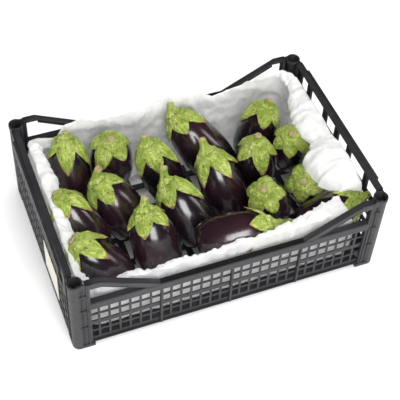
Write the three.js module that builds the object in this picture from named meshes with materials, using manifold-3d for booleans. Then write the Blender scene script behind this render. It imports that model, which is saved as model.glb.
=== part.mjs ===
// Eggplants in a slatted plastic crate lined with tissue paper.
// Millimetres, +Z up, origin under the middle of the crate, +X along its long side, +Y to the back.
import * as THREE from 'three';
import { mergeVertices } from 'three/addons/utils/BufferGeometryUtils.js';
import Module from 'manifold-3d';

// Crate: driving sizes
const LENGTH = 585; // between the outer faces of the two short walls
const WIDTH = 401; // between the outer faces of the two long walls
const HEIGHT = 185; // floor to the top of the corner posts
const FOOT = 8; // how far the feet stand below the walls
const PLATE = 3; // wall thickness of the moulding

// Corner posts
const POST_RADIUS = 12.5;
const SOCKET_RADIUS = 10.5;
const SOCKET_DEPTH = 60;
const PANEL = 18; // reach of a post's face panels from its axis
const FOOT_REACH = 26; // reach of a foot from the post's axis
const FOOT_SLANT = 6;
const SHELF_GAPS = [0.3, 0.58, 0.82]; // heights of the stiffening shelves, as shares of the post

// Long walls
const RIM = 130; // top of the low middle of a long wall
const LIP = 18; // height of the lip that hangs below the rim
const FLANGE = 12; // depth of the rim's flange
const RAIL = 14; // height of the raised rail at a corner
const RISE_START = 134; // from the middle of the wall to the foot of the slope
const GAP_TIP_IN = 4.2; // from the level top's end to the upper corner of the triangular gap below it
const LEVEL = 20; // level stretch of the raised rail beside a post
const SKIRT_HALF = 38;
const SKIRT_DROP = 5;

// Grille
const LONG_COLUMNS = 28;
const SHORT_COLUMNS = 18;
const WIRE = 4;
const BAND = 10; // the broad bar across the middle of the grille
const GRILLE_BASE = 11; // solid strip below the lowest row of holes
const HOLE_HEIGHT = 17;
const LONG_GRILLE_SET_IN = 6; // from the outer face of a long wall to its grille

// Short walls
const END_BAND = 60; // height of the part that holds the hand windows
const WINDOW_HEIGHT = 30;
const WINDOW_LIFT = 10; // from the top of the grille to the windows
const WINDOW_WIDTHS = [30, 57, 38, 38, 57, 30];
const END_FLANGE = 14;
const GRIP_OUT = 4; // how far the middle of the end rail is thickened outward
const GRIP_HEIGHT = 17;
const GRIP_END = 22; // from the end of the wall to the start of the grip

// Floor
const FLOOR_PLATE = 4;
const SLOTS = [9, 6];
const SLOT_BAR = 12;

// Tissue paper liner
const PAPER = 2; // thickness of the crumpled sheet as one plain layer
const PAPER_CLEAR = 1;
const TRAY = 45; // height of the all-round lower part
const TRAY_CORNER = 38;
const PAPER_TOP = { front: 146, back: 170, left: 158, right: 160 };
const PAPER_END = { long: 45, short: 64 }; // how far each tall side stays from its corners
const FOLD_IN = 38; // how far the folded-over paper reaches in on the right
const FRONT_FOLD_IN = 26;
const FRONT_FOLD = [138, 212]; // stretch of the front where the paper folds over

// Card on the left wall
const CARD = { width: 84, height: 72, thickness: 0.9, gap: 0.3, bottom: 38, front: -114 };

// Fruit and calyx
const FRUIT_SIDES = 16;
const FRUIT_RINGS = 8;
const CALYX_LOBES = 5;
const CALYX_SIDES = 4 * CALYX_LOBES;
const CALYX_CLEAR = 1.9; // the lobes' edges stand this far off the skin
const CALYX_ARCH = 1.9; // and the cap arches this much further off it at the shoulder
const CALYX_THICK = 1.6;
const NOTCH_REACH = 0.2; // how far down the fruit the calyx reaches between lobes
const TIP_REACH = 0.43; // and at the tips of the lobes


// Outline of a fruit from its blossom end to its stem end: share of the radius, share of the length.
const OUTLINE = [
  [0, 0],
  [0.55, 0.03],
  [0.88, 0.14],
  [1, 0.36],
  [0.97, 0.58],
  [0.84, 0.79],
  [0.55, 0.94],
  [0, 1],
];

// Each fruit: middle (across from the crate's middle, back from its front face, up from the ground),
// lean from upright, bearing of the lean from +X, length, radius, turn of the calyx about the stem,
// length of the stem and how far its tip is bent over.
const FRUITS = [
  { at: [-204, 318, 95], lean: 23, bearing: 81, length: 138, radius: 41, turn: 20, stem: 16, bend: 3 },
  { at: [-120, 324, 96], lean: 12, bearing: -100, length: 140, radius: 42, turn: 60, stem: 9, bend: 0 },
  { at: [-38, 271, 90], lean: 23, bearing: 145, length: 138, radius: 40, turn: 35, stem: 24, bend: 4 },
  { at: [59, 311, 87], lean: 46, bearing: 134, length: 160, radius: 46, turn: 26, stem: 25, bend: 11 },
  { at: [60, 202, 91], lean: 31, bearing: 124, length: 142, radius: 42, turn: 50, stem: 33, bend: 4 },
  { at: [179, 315, 84], lean: 12, bearing: -9, length: 134, radius: 40, turn: 5, stem: 18, bend: 3 },
  { at: [138, 231, 87], lean: 5, bearing: -120, length: 134, radius: 40, turn: 30, stem: 24, bend: 3 },
  { at: [221, 245, 91], lean: 24, bearing: -125, length: 132, radius: 38, turn: 15, stem: 14, bend: 2 },
  { at: [125, 133, 92], lean: 26, bearing: -140, length: 136, radius: 40, turn: 40, stem: 14, bend: 0 },
  { at: [218, 155, 80], lean: 38, bearing: -135, length: 132, radius: 39, turn: 0, stem: 14, bend: 2 },
  { at: [213, 64, 104], lean: 56, bearing: -14, length: 128, radius: 37, turn: 55, stem: 21, bend: 4 },
  { at: [24, 67, 116], lean: 76, bearing: -11, length: 136, radius: 41, turn: 25, stem: 22, bend: 4 },
  { at: [-24, 163, 86], lean: 41, bearing: 129, length: 136, radius: 44, turn: 21, stem: 32, bend: 16 },
  { at: [-106, 111, 93], lean: 24, bearing: 110, length: 136, radius: 44, turn: 16, stem: 28, bend: 8 },
  { at: [-139, 217, 85], lean: 35, bearing: 140, length: 136, radius: 44, turn: -32, stem: 29, bend: 22 },
  { at: [-222, 182, 112], lean: 39, bearing: 133, length: 132, radius: 38, turn: 30, stem: 12, bend: 0 },
  { at: [-214, 88, 110], lean: 41, bearing: 152, length: 134, radius: 41, turn: 70, stem: 8, bend: 0 },
  { at: [101, 57, 68], lean: 50, bearing: 3, length: 106, radius: 28, turn: 20, stem: 10, bend: 0 },
];

const wasm = await Module();
wasm.setup();

const skins = {
  plastic: { color: 0x38383b, roughness: 0.55, metalness: 0 },
  paper: { color: 0xf0f0ee, roughness: 0.9, metalness: 0 },
  card: { color: 0xe2dfd2, roughness: 0.8, metalness: 0 },
  fruit: { color: 0x24161d, roughness: 0.18, metalness: 0 },
  calyx: { color: 0x93b04c, roughness: 0.6, metalness: 0 },
};

const part = new THREE.Group();

function add(name, skin, geometry, parent = part) {
  const mesh = new THREE.Mesh(geometry, new THREE.MeshStandardMaterial(skins[skin]));
  mesh.name = name;
  parent.add(mesh);
  return mesh;
}

// ---- solids ----

function solid(geometry) {
  const plain = geometry.clone();
  plain.deleteAttribute('normal');
  plain.deleteAttribute('uv');
  const merged = mergeVertices(plain, 1e-4);
  const mesh = new wasm.Mesh({
    numProp: 3,
    vertProperties: new Float32Array(merged.attributes.position.array),
    triVerts: new Uint32Array(merged.index.array),
  });
  return new wasm.Manifold(mesh);
}

function geometryOf(body) {
  const mesh = body.getMesh();
  const geometry = new THREE.BufferGeometry();
  geometry.setAttribute('position', new THREE.BufferAttribute(new Float32Array(mesh.vertProperties), 3));
  geometry.setIndex(new THREE.BufferAttribute(new Uint32Array(mesh.triVerts), 1));
  geometry.computeVertexNormals();
  return geometry;
}

function joined(geometries, cuts = []) {
  const whole = geometries.map(solid).reduce((a, b) => a.add(b));
  return geometryOf(cuts.map(solid).reduce((a, b) => a.subtract(b), whole));
}

function block([x0, x1], [y0, y1], [z0, z1]) {
  const size = [Math.abs(x1 - x0), Math.abs(y1 - y0), Math.abs(z1 - z0)];
  return new THREE.BoxGeometry(...size).translate((x0 + x1) / 2, (y0 + y1) / 2, (z0 + z1) / 2);
}

function outline(points) {
  return new THREE.Shape(points.map(([x, y]) => new THREE.Vector2(x, y)));
}

function rectangle(x0, x1, y0, y1) {
  return [[x0, y0], [x1, y0], [x1, y1], [x0, y1]];
}

// A flat shape drawn in (along, up), made `depth` thick and stood up behind the plane y = front.
function upright(shape, front, depth) {
  const geometry = new THREE.ExtrudeGeometry(shape, { depth, bevelEnabled: false });
  return geometry.rotateX(Math.PI / 2).translate(0, front + depth, 0);
}

// A cutter that goes right through a plate stood up behind the plane y = front.
function through(points, front) {
  return upright(outline(points), front - 1, PLATE + 2);
}

// ---- crate ----

const postX = LENGTH / 2 - POST_RADIUS;
const postY = WIDTH / 2 - POST_RADIUS;
const longHalf = postX - PANEL;
const shortHalf = postY - PANEL;

// One arm of a post, pointing from its axis along X; `turn` swings it to lie along Y.
function postArm(inX, inY, alongY) {
  const place = (along, across, up) => {
    const a = along.map((v) => v * (alongY ? inY : inX));
    const b = across.map((v) => v * (alongY ? inX : inY));
    return alongY ? block(b, a, up) : block(a, b, up);
  };
  const face = [-POST_RADIUS, -POST_RADIUS + PLATE];
  const deep = [-POST_RADIUS, -POST_RADIUS + FLANGE];
  const shelves = SHELF_GAPS.map((share) => {
    const z = FOOT + share * (HEIGHT - FOOT);
    return place([0, PANEL], deep, [z, z + PLATE]);
  });
  return [
    place([0, PANEL], face, [FOOT, HEIGHT]),
    place([PANEL - PLATE, PANEL], deep, [FOOT, HEIGHT]),
    ...shelves,
  ];
}

function footArm(inX, inY, alongY) {
  const side = outline([
    [-POST_RADIUS, 0],
    [FOOT_REACH - FOOT_SLANT, 0],
    [FOOT_REACH, FOOT],
    [-POST_RADIUS, FOOT],
  ]);
  const arm = upright(side, -POST_RADIUS, FLANGE);
  if (alongY) {
    arm.rotateZ(Math.PI / 2).scale(-1, 1, 1);
  }
  arm.scale(inX, inY, 1);
  const flips = (inX < 0) + (inY < 0) + (alongY ? 1 : 0);
  if (flips % 2) {
    flip(arm);
  }
  return arm;
}

// Turns the triangles of a mirrored shape to face outward again.
function flip(geometry) {
  const position = geometry.attributes.position;
  const a = new THREE.Vector3();
  const b = new THREE.Vector3();
  for (let i = 0; i < position.count; i += 3) {
    a.fromBufferAttribute(position, i + 1);
    b.fromBufferAttribute(position, i + 2);
    position.setXYZ(i + 1, b.x, b.y, b.z);
    position.setXYZ(i + 2, a.x, a.y, a.z);
  }
}

function standing(radius, z0, z1, sides = 16) {
  return new THREE.CylinderGeometry(radius, radius, z1 - z0, sides)
    .rotateX(Math.PI / 2)
    .translate(0, 0, (z0 + z1) / 2);
}

function addPost(name, sideX, sideY) {
  const inX = -sideX;
  const inY = -sideY;
  const pieces = [
    standing(POST_RADIUS, 0, HEIGHT),
    ...postArm(inX, inY, false),
    ...postArm(inX, inY, true),
    footArm(inX, inY, false),
    footArm(inX, inY, true),
  ];
  const socket = standing(SOCKET_RADIUS, HEIGHT - SOCKET_DEPTH, HEIGHT + 1);
  const post = add(name, 'plastic', joined(pieces, [socket]));
  post.position.set(sideX * postX, sideY * postY, 0);
}

// Heights of the holes' lower edges: two rows, the broad band, two rows.
function grilleRows() {
  const rows = [];
  let z = FOOT + GRILLE_BASE;
  for (const gap of [WIRE, BAND, WIRE, WIRE]) {
    rows.push(z);
    z += HOLE_HEIGHT + gap;
  }
  return rows;
}

function grille(half, columns, top, front, skirt) {
  const edge = skirt
    ? [[-SKIRT_HALF, FOOT], [-SKIRT_HALF, FOOT - skirt], [SKIRT_HALF, FOOT - skirt], [SKIRT_HALF, FOOT]]
    : [];
  const plate = outline([[-half, FOOT], ...edge, [half, FOOT], [half, top], [-half, top]]);
  const pitch = (2 * half) / columns;
  const holes = [];
  for (const z of grilleRows()) {
    for (let column = 0; column < columns; column += 1) {
      const x = -half + column * pitch;
      holes.push(through(rectangle(x + WIRE / 2, x + pitch - WIRE / 2, z, z + HOLE_HEIGHT), front));
    }
  }
  return joined([upright(plate, front, PLATE)], holes);
}

function addLongWall(side, sideY) {
  const turn = sideY < 0 ? 0 : Math.PI;
  const face = -WIDTH / 2;
  const holder = new THREE.Group();
  holder.rotation.z = turn;
  part.add(holder);

  const mesh = grille(longHalf, LONG_COLUMNS, RIM - PLATE, face + LONG_GRILLE_SET_IN, SKIRT_DROP);
  add(`${side}_grille`, 'plastic', mesh, holder);

  const level = longHalf - LEVEL;
  const top = [
    [-longHalf, HEIGHT],
    [-level, HEIGHT],
    [-RISE_START, RIM],
    [RISE_START, RIM],
    [level, HEIGHT],
    [longHalf, HEIGHT],
  ];
  const lip = outline([...[...top].reverse(), [-longHalf, RIM - LIP], [longHalf, RIM - LIP]]);
  const slope = (HEIGHT - RIM) / (level - RISE_START);
  const run = (HEIGHT - RAIL - RIM) / slope;
  const gaps = [-1, 1].map((s) => {
    const gap = [
      [s * (longHalf - PLATE), RIM],
      [s * (level - GAP_TIP_IN - run), RIM],
      [s * (level - GAP_TIP_IN), HEIGHT - RAIL],
      [s * (longHalf - PLATE), HEIGHT - RAIL],
    ];
    return through(gap, face);
  });
  const strip = outline([...[...top].reverse(), ...top.map(([x, z]) => [x, z - PLATE])]);
  const shelf = block([-longHalf, longHalf], [face, face + FLANGE], [RIM - PLATE, RIM]);
  const plate = joined([upright(lip, face, PLATE)], gaps);
  const rail = joined([plate, upright(strip, face, FLANGE), shelf]);
  add(`${side}_rail`, 'plastic', rail, holder);
}

function windowHoles(front) {
  const bars = (2 * shortHalf - WINDOW_WIDTHS.reduce((a, b) => a + b)) / (WINDOW_WIDTHS.length + 1);
  let x = -shortHalf + bars;
  const z = HEIGHT - END_BAND + WINDOW_LIFT;
  return WINDOW_WIDTHS.map((width) => {
    const window = through(rectangle(x, x + width, z, z + WINDOW_HEIGHT), front);
    x += width + bars;
    return window;
  });
}

function addShortWall(side, sideX) {
  const holder = new THREE.Group();
  holder.rotation.z = (sideX * Math.PI) / 2;
  part.add(holder);
  const face = -LENGTH / 2;
  const split = HEIGHT - END_BAND;

  add(`${side}_grille`, 'plastic', grille(shortHalf, SHORT_COLUMNS, split, face, 0), holder);

  const plate = outline(rectangle(-shortHalf, shortHalf, split, HEIGHT));
  const grip = shortHalf - GRIP_END;
  const rail = joined(
    [
      upright(plate, face, PLATE),
      block([-shortHalf, shortHalf], [face, face + END_FLANGE], [HEIGHT - PLATE, HEIGHT]),
      block([-grip, grip], [face - GRIP_OUT, face + 1], [HEIGHT - GRIP_HEIGHT, HEIGHT]),
    ],
    windowHoles(face),
  );
  add(`${side}_rail`, 'plastic', rail, holder);
}

function addFloor() {
  const x = LENGTH / 2 - PLATE;
  const y = WIDTH / 2 - LONG_GRILLE_SET_IN - PLATE;
  const corner = (sx, sy) => [
    [sx * x, sy * shortHalf],
    [sx * longHalf, sy * shortHalf],
    [sx * longHalf, sy * y],
  ];
  const shape = outline([
    ...corner(1, 1),
    ...corner(-1, 1).reverse(),
    ...corner(-1, -1),
    ...corner(1, -1).reverse(),
  ]);
  const [columns, rows] = SLOTS;
  const stepX = (2 * longHalf) / columns;
  const stepY = (2 * shortHalf) / rows;
  const slots = [];
  for (let i = 0; i < columns; i += 1) {
    for (let j = 0; j < rows; j += 1) {
      const x0 = -longHalf + i * stepX + SLOT_BAR / 2;
      const y0 = -shortHalf + j * stepY + SLOT_BAR / 2;
      const slot = rectangle(x0, x0 + stepX - SLOT_BAR, y0, y0 + stepY - SLOT_BAR);
      slots.push(prism(outline(slot), FOOT - 1, FOOT + FLOOR_PLATE + 1));
    }
  }
  add('floor', 'plastic', joined([prism(shape, FOOT, FOOT + FLOOR_PLATE)], slots));
}

// ---- paper and card ----

function octagon(x, y, corner) {
  return outline([
    [x, -y + corner],
    [x, y - corner],
    [x - corner, y],
    [-x + corner, y],
    [-x, y - corner],
    [-x, -y + corner],
    [-x + corner, -y],
    [x - corner, -y],
  ]);
}

function prism(shape, z0, z1) {
  return new THREE.ExtrudeGeometry(shape, { depth: z1 - z0, bevelEnabled: false }).translate(0, 0, z0);
}

function addLiner() {
  const x = LENGTH / 2 - END_FLANGE - PAPER_CLEAR;
  const y = WIDTH / 2 - FLANGE - PAPER_CLEAR;
  const base = FOOT + FLOOR_PLATE + PAPER_CLEAR;
  const alongX = [-x + PAPER_END.long, x - PAPER_END.long];
  const alongY = [-y + PAPER_END.short, y - PAPER_END.short];
  const inner = TRAY_CORNER - PAPER * (2 - Math.SQRT2);
  const low = base + PAPER;
  const right = PAPER_TOP.right;
  const front = PAPER_TOP.front;
  const liner = joined([
    tray(x, y, base, inner),
    block(alongX, [-y, -y + PAPER], [low, front]),
    block(alongX, [y - PAPER, y], [low, PAPER_TOP.back]),
    block([-x, -x + PAPER], alongY, [low, PAPER_TOP.left]),
    block([x - PAPER, x], alongY, [low, right]),
    block([x - FOLD_IN, x], alongY, [right - PAPER, right]),
    block(FRONT_FOLD, [-y, -y + FRONT_FOLD_IN], [front - PAPER, front]),
  ]);
  add('tissue_liner', 'paper', liner);
}

function tray(x, y, base, innerCorner) {
  const outside = prism(octagon(x, y, TRAY_CORNER), base, base + TRAY);
  const space = octagon(x - PAPER, y - PAPER, innerCorner);
  return joined([outside], [prism(space, base + PAPER, base + TRAY + 1)]);
}

function addCard() {
  const x = -LENGTH / 2 - CARD.gap;
  const y = [CARD.front, CARD.front + CARD.width];
  const z = [CARD.bottom, CARD.bottom + CARD.height];
  add('card_label', 'card', block([x - CARD.thickness, x], y, z));
}

// ---- eggplants ----

const outlineCurve = new THREE.SplineCurve(OUTLINE.map(([r, t]) => new THREE.Vector2(r, t)));

// A point on the fruit's outline, `down` from the stem end, moved out from the skin by `off`.
function onSkin(fruit, down, off) {
  const at = 1 - down;
  const point = outlineCurve.getPoint(at);
  const step = outlineCurve.getPoint(Math.min(at + 0.01, 1)).sub(outlineCurve.getPoint(at - 0.01));
  const normal = new THREE.Vector2(step.y * fruit.length, -step.x * fruit.radius).normalize();
  return new THREE.Vector2(
    Math.max(point.x * fruit.radius + normal.x * off, 0),
    point.y * fruit.length + normal.y * off,
  );
}

function fruitGeometry(fruit) {
  const profile = outlineCurve.getPoints(FRUIT_RINGS).map((p) => {
    return new THREE.Vector2(Math.max(p.x, 0) * fruit.radius, p.y * fruit.length);
  });
  profile[0].x = 0;
  profile[FRUIT_RINGS].x = 0;
  return new THREE.LatheGeometry(profile, FRUIT_SIDES).rotateX(Math.PI / 2);
}

// Rises from 0 between two lobes to 1 at a lobe's tip, four steps to a lobe.
function lobe(side) {
  const share = (side % 4) / 4;
  return 1 - Math.abs(share - 0.5) * 2;
}

// The calyx is turned as a plain cap, then each side is pulled down the skin to its own reach.
function calyxGeometry(fruit) {
  const stemRadius = fruit.radius * 0.2;
  const top = fruit.length + fruit.stem;
  const rings = [
    () => [0, fruit.length + CALYX_CLEAR],
    ...[0.4, 0.7, 1].map((s) => (reach) => {
      const p = onSkin(fruit, s * reach, CALYX_CLEAR + CALYX_ARCH * (s < 1));
      return [p.x, p.y];
    }),
    ...[1, 0.7, 0.4].map((s) => (reach) => {
      const p = onSkin(fruit, s * reach, CALYX_CLEAR + CALYX_THICK + CALYX_ARCH * (s < 1));
      return [p.x, p.y];
    }),
    () => [stemRadius * 1.3, fruit.length + 2 * CALYX_THICK + 2],
    () => [stemRadius * 0.8, top],
    () => [0, top],
  ];
  const flat = rings.map((ring) => new THREE.Vector2(...ring(NOTCH_REACH)));
  const geometry = new THREE.LatheGeometry(flat, CALYX_SIDES);
  const position = geometry.attributes.position;
  for (let side = 0; side <= CALYX_SIDES; side += 1) {
    const angle = (side / CALYX_SIDES) * 2 * Math.PI;
    const reach = NOTCH_REACH + (TIP_REACH - NOTCH_REACH) * lobe(side % CALYX_SIDES);
    rings.forEach((ring, row) => {
      const [r, z] = ring(reach);
      const lean = Math.max(z - fruit.length, 0) / fruit.stem;
      const i = side * rings.length + row;
      position.setXYZ(i, r * Math.sin(angle) + fruit.bend * lean * lean, z, r * Math.cos(angle));
    });
  }
  splitShort(geometry, rings.length);
  return geometry.rotateX(Math.PI / 2).rotateZ(THREE.MathUtils.degToRad(fruit.turn));
}

// Splits each patch along its shorter diagonal, so that the cap's two faces stay parallel.
function splitShort(geometry, rows) {
  const corner = (i) => new THREE.Vector3().fromBufferAttribute(geometry.attributes.position, i);
  const index = [];
  for (let side = 0; side < CALYX_SIDES; side += 1) {
    for (let row = 0; row < rows - 1; row += 1) {
      const a = side * rows + row;
      const [b, c, d] = [a + rows, a + rows + 1, a + 1];
      const across = corner(a).distanceTo(corner(c)) < corner(b).distanceTo(corner(d));
      index.push(...(across ? [a, b, c, a, c, d] : [a, b, d, c, d, b]));
    }
  }
  geometry.setIndex(index);
}

function addFruit(fruit, number) {
  const holder = new THREE.Group();
  const lean = THREE.MathUtils.degToRad(fruit.lean);
  const bearing = THREE.MathUtils.degToRad(fruit.bearing);
  const axis = new THREE.Vector3(
    Math.sin(lean) * Math.cos(bearing),
    Math.sin(lean) * Math.sin(bearing),
    Math.cos(lean),
  );
  holder.quaternion.setFromUnitVectors(new THREE.Vector3(0, 0, 1), axis);
  const [across, back, up] = fruit.at;
  holder.position.set(across, back - WIDTH / 2, up).addScaledVector(axis, -fruit.length / 2);
  part.add(holder);
  const tag = String(number).padStart(2, '0');
  add(`eggplant_${tag}_fruit`, 'fruit', fruitGeometry(fruit), holder);
  add(`eggplant_${tag}_calyx`, 'calyx', calyxGeometry(fruit), holder);
}

addFloor();
addLongWall('front', -1);
addLongWall('back', 1);
addShortWall('left', -1);
addShortWall('right', 1);
addPost('post_front_left', -1, -1);
addPost('post_front_right', 1, -1);
addPost('post_back_right', 1, 1);
addPost('post_back_left', -1, 1);
addLiner();
addCard();
FRUITS.forEach((fruit, i) => addFruit(fruit, i + 1));

export default part;
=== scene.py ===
"""Eggplants in a slatted plastic crate lined with tissue paper, as finished pieces in the CAD's frame."""

import math
import random

import bmesh
import bpy
from mathutils import Matrix, Vector, noise


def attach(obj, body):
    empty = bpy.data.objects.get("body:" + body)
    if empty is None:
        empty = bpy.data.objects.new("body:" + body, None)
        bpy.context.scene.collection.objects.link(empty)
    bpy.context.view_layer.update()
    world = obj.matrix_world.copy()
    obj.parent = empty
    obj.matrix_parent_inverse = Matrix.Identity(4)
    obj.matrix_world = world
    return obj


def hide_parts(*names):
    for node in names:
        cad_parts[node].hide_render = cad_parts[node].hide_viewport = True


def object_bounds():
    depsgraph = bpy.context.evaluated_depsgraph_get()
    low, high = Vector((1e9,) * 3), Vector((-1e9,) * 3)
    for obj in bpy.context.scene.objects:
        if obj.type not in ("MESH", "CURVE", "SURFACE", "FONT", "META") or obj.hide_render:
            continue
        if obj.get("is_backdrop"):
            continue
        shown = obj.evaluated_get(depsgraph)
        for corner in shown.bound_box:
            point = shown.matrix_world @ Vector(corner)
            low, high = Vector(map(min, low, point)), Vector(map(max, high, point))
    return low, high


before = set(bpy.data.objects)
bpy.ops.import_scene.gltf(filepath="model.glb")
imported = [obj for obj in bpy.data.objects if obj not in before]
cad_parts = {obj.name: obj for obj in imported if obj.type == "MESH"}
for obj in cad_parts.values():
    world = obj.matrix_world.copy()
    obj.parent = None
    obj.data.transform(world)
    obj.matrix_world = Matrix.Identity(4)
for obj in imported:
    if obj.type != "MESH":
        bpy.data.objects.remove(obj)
noise.seed_set(7)  # without it noise_vector starts from the clock
cad_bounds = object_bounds()
MM = 0.001

# ---- sizes that the pieces share with the CAD, in millimetres ----

LENGTH, WIDTH, HEIGHT, FOOT, PLATE = 585, 401, 185, 8, 3
POST_RADIUS, SOCKET_RADIUS, SOCKET_DEPTH, PANEL = 12.5, 10.5, 60, 18
FOOT_REACH, FOOT_SLANT = 26, 6
SHELF_SHARES = (0.3, 0.58, 0.82)
RIM, LIP, FLANGE, RAIL, RISE_START, LEVEL = 130, 18, 12, 14, 134, 20
SKIRT_HALF, SKIRT_DROP = 38, 5
LONG_COLUMNS, SHORT_COLUMNS, WIRE, BAND = 28, 18, 4, 10
GRILLE_BASE, HOLE_HEIGHT, GRILLE_SET_IN = 11, 17, 6
END_BAND, WINDOW_HEIGHT, WINDOW_WIDTHS = 60, 30, (30, 57, 38, 38, 57, 30)
END_FLANGE, GRIP_OUT, GRIP_HEIGHT, GRIP_END = 14, 4, 17, 22
FLOOR_PLATE, SLOTS, SLOT_BAR = 4, (9, 6), 12
CARD = dict(width=84, height=72, thickness=0.9, gap=0.3, bottom=38, front=-114)

POST_X = LENGTH / 2 - POST_RADIUS
POST_Y = WIDTH / 2 - POST_RADIUS
LONG_HALF = POST_X - PANEL
SHORT_HALF = POST_Y - PANEL
RIB_EVERY = 7  # columns between two thick ribs of a long grille
EDGE = 0.6  # rounding of the moulding's edges
GAP_TIP_IN = 0.3  # of the rail, from where it levels out to the tip of the gap below it
WINDOW_LIFT = 10  # from the foot of the end band to the foot of its windows

OUTLINE = ((0, 0), (0.55, 0.03), (0.88, 0.14), (1, 0.36), (0.97, 0.58), (0.84, 0.79), (0.55, 0.94), (0, 1))

# middle (across, back from the front face, up), lean from upright, bearing of the lean, length,
# radius, turn of the calyx, stem, bend
FRUITS = (
    ((-204, 318, 95), 23, 81, 138, 41, 20, 16, 3),
    ((-120, 324, 96), 12, -100, 140, 42, 60, 9, 0),
    ((-38, 271, 90), 23, 145, 138, 40, 35, 24, 4),
    ((59, 311, 87), 46, 134, 160, 46, 26, 25, 11),
    ((60, 202, 91), 31, 124, 142, 42, 50, 33, 4),
    ((179, 315, 84), 12, -9, 134, 40, 5, 18, 3),
    ((138, 231, 87), 5, -120, 134, 40, 30, 24, 3),
    ((221, 245, 91), 24, -125, 132, 38, 15, 14, 2),
    ((125, 133, 92), 26, -140, 136, 40, 40, 14, 0),
    ((218, 155, 80), 38, -135, 132, 39, 0, 14, 2),
    ((213, 64, 104), 56, -14, 128, 37, 55, 21, 4),
    ((24, 67, 116), 76, -11, 136, 41, 25, 22, 4),
    ((-24, 163, 86), 41, 129, 136, 44, 21, 32, 16),
    ((-106, 111, 93), 24, 110, 136, 44, 16, 28, 8),
    ((-139, 217, 85), 35, 140, 136, 44, -32, 29, 22),
    ((-222, 182, 112), 39, 133, 132, 38, 30, 12, 0),
    ((-214, 88, 110), 41, 152, 134, 41, 70, 8, 0),
    ((101, 57, 68), 50, 3, 106, 28, 20, 10, 0),
)

LOBES = 5  # on each calyx, evenly spaced but for the sway
LOBE_START = -54  # degrees, from the fruit's turn to its first lobe
LOBE_SWAY = 9  # degrees either way
LOBE_REACH = (0.27, 0.42)  # share of the way down the skin
LOBE_LIFT = (1, 4)  # mm, the tip off the skin
LOBE_SEED = 300

# ---- camera and light ----

CAMERA_AT = (-0.4815, -1.1250, 1.5397)
CAMERA_AZ, CAMERA_EL, CAMERA_ROLL = -23.845, 50.181, 3.702
LENS = 91.4


# ---- small helpers ----


def linear(*rgb):
    """A colour given in 0-255 screen values, as the linear values that a shader takes."""
    return tuple((c / 255 / 12.92) if c <= 10 else ((c / 255 + 0.055) / 1.055) ** 2.4 for c in rgb) + (1,)


def place(mesh, name, node_names, material):
    obj = bpy.data.objects.new(name, mesh)
    bpy.context.collection.objects.link(obj)
    obj.data.materials.clear()
    obj.data.materials.append(material)
    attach(obj, "root")
    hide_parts(*node_names)
    return obj


def smooth(mesh):
    for polygon in mesh.polygons:
        polygon.use_smooth = True


class Nodes:
    """Builds a node material a line at a time."""

    def __init__(self, name):
        self.material = bpy.data.materials.new(name)
        self.material.use_nodes = True
        self.tree = self.material.node_tree
        self.tree.nodes.clear()
        self.shader = self.tree.nodes.new("ShaderNodeBsdfPrincipled")
        self.out = self.tree.nodes.new("ShaderNodeOutputMaterial")
        self.link(self.shader.outputs[0], self.out.inputs["Surface"])

    def link(self, a, b):
        self.tree.links.new(a, b)

    def node(self, kind, **sockets):
        made = self.tree.nodes.new(kind)
        for key, value in sockets.items():
            name = key.replace("_", " ")
            if name in made.inputs:
                self.set(made.inputs[name], value)
            else:
                setattr(made, key, value)
        return made

    def set(self, socket, value):
        if isinstance(value, bpy.types.NodeSocket):
            self.link(value, socket)
        else:
            socket.default_value = value

    def coords(self, scale, kind="Object", stretch=(1, 1, 1)):
        source = self.node("ShaderNodeTexCoord").outputs[kind]
        mapping = self.node("ShaderNodeMapping")
        self.link(source, mapping.inputs["Vector"])
        mapping.inputs["Scale"].default_value = tuple(scale * s for s in stretch)
        return mapping.outputs[0]

    def noise(self, vector, scale=1.0, detail=4.0, rough=0.5, distortion=0.0):
        made = self.node("ShaderNodeTexNoise", Vector=vector, Scale=scale, Detail=detail)
        made.inputs["Roughness"].default_value = rough
        made.inputs["Distortion"].default_value = distortion
        return made.outputs["Fac"]

    def ramp(self, value, *stops):
        made = self.node("ShaderNodeValToRGB")
        self.link(value, made.inputs[0])
        elements = made.color_ramp.elements
        while len(elements) < len(stops):
            elements.new(0.5)
        for element, (at, colour) in zip(elements, stops):
            element.position = at
            element.color = colour if isinstance(colour, tuple) else (colour, colour, colour, 1)
        return made.outputs[0]

    def mix(self, share, a, b, blend="MIX"):
        made = self.tree.nodes.new("ShaderNodeMix")
        made.data_type = "RGBA"
        made.blend_type = blend
        self.set(made.inputs[0], share)
        self.set(made.inputs[6], a)
        self.set(made.inputs[7], b)
        return made.outputs[2]

    def maths(self, operation, a, b=0.0):
        made = self.node("ShaderNodeMath", operation=operation)
        self.set(made.inputs[0], a)
        self.set(made.inputs[1], b)
        return made.outputs[0]

    def bump(self, height, strength, distance, after=None):
        made = self.node("ShaderNodeBump", Strength=strength, Distance=distance)
        self.link(height, made.inputs["Height"])
        if after is not None:
            self.link(after, made.inputs["Normal"])
        return made.outputs[0]

    def attribute(self, name):
        return self.node("ShaderNodeAttribute", attribute_name=name).outputs["Fac"]

    def principled(self, **sockets):
        for key, value in sockets.items():
            self.set(self.shader.inputs[key.replace("_", " ")], value)


# ---- materials ----


def plastic_material():
    n = Nodes("charcoal_moulding")
    spots = n.noise(n.coords(9), detail=6, rough=0.6)
    colour = n.ramp(spots, (0.35, linear(36, 36, 39)), (0.7, linear(48, 48, 51)))
    worn = n.noise(n.coords(60, stretch=(1, 1, 3)), detail=5, rough=0.7)
    colour = n.mix(n.ramp(worn, (0.58, 0.0), (0.75, 0.35)), colour, linear(76, 76, 80))
    grain = n.noise(n.coords(900), detail=2)
    rough = n.ramp(worn, (0.3, 0.42), (0.7, 0.6))
    n.principled(Base_Color=colour, Roughness=rough, Normal=n.bump(grain, 0.15, 0.0003))
    return n.material


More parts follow.
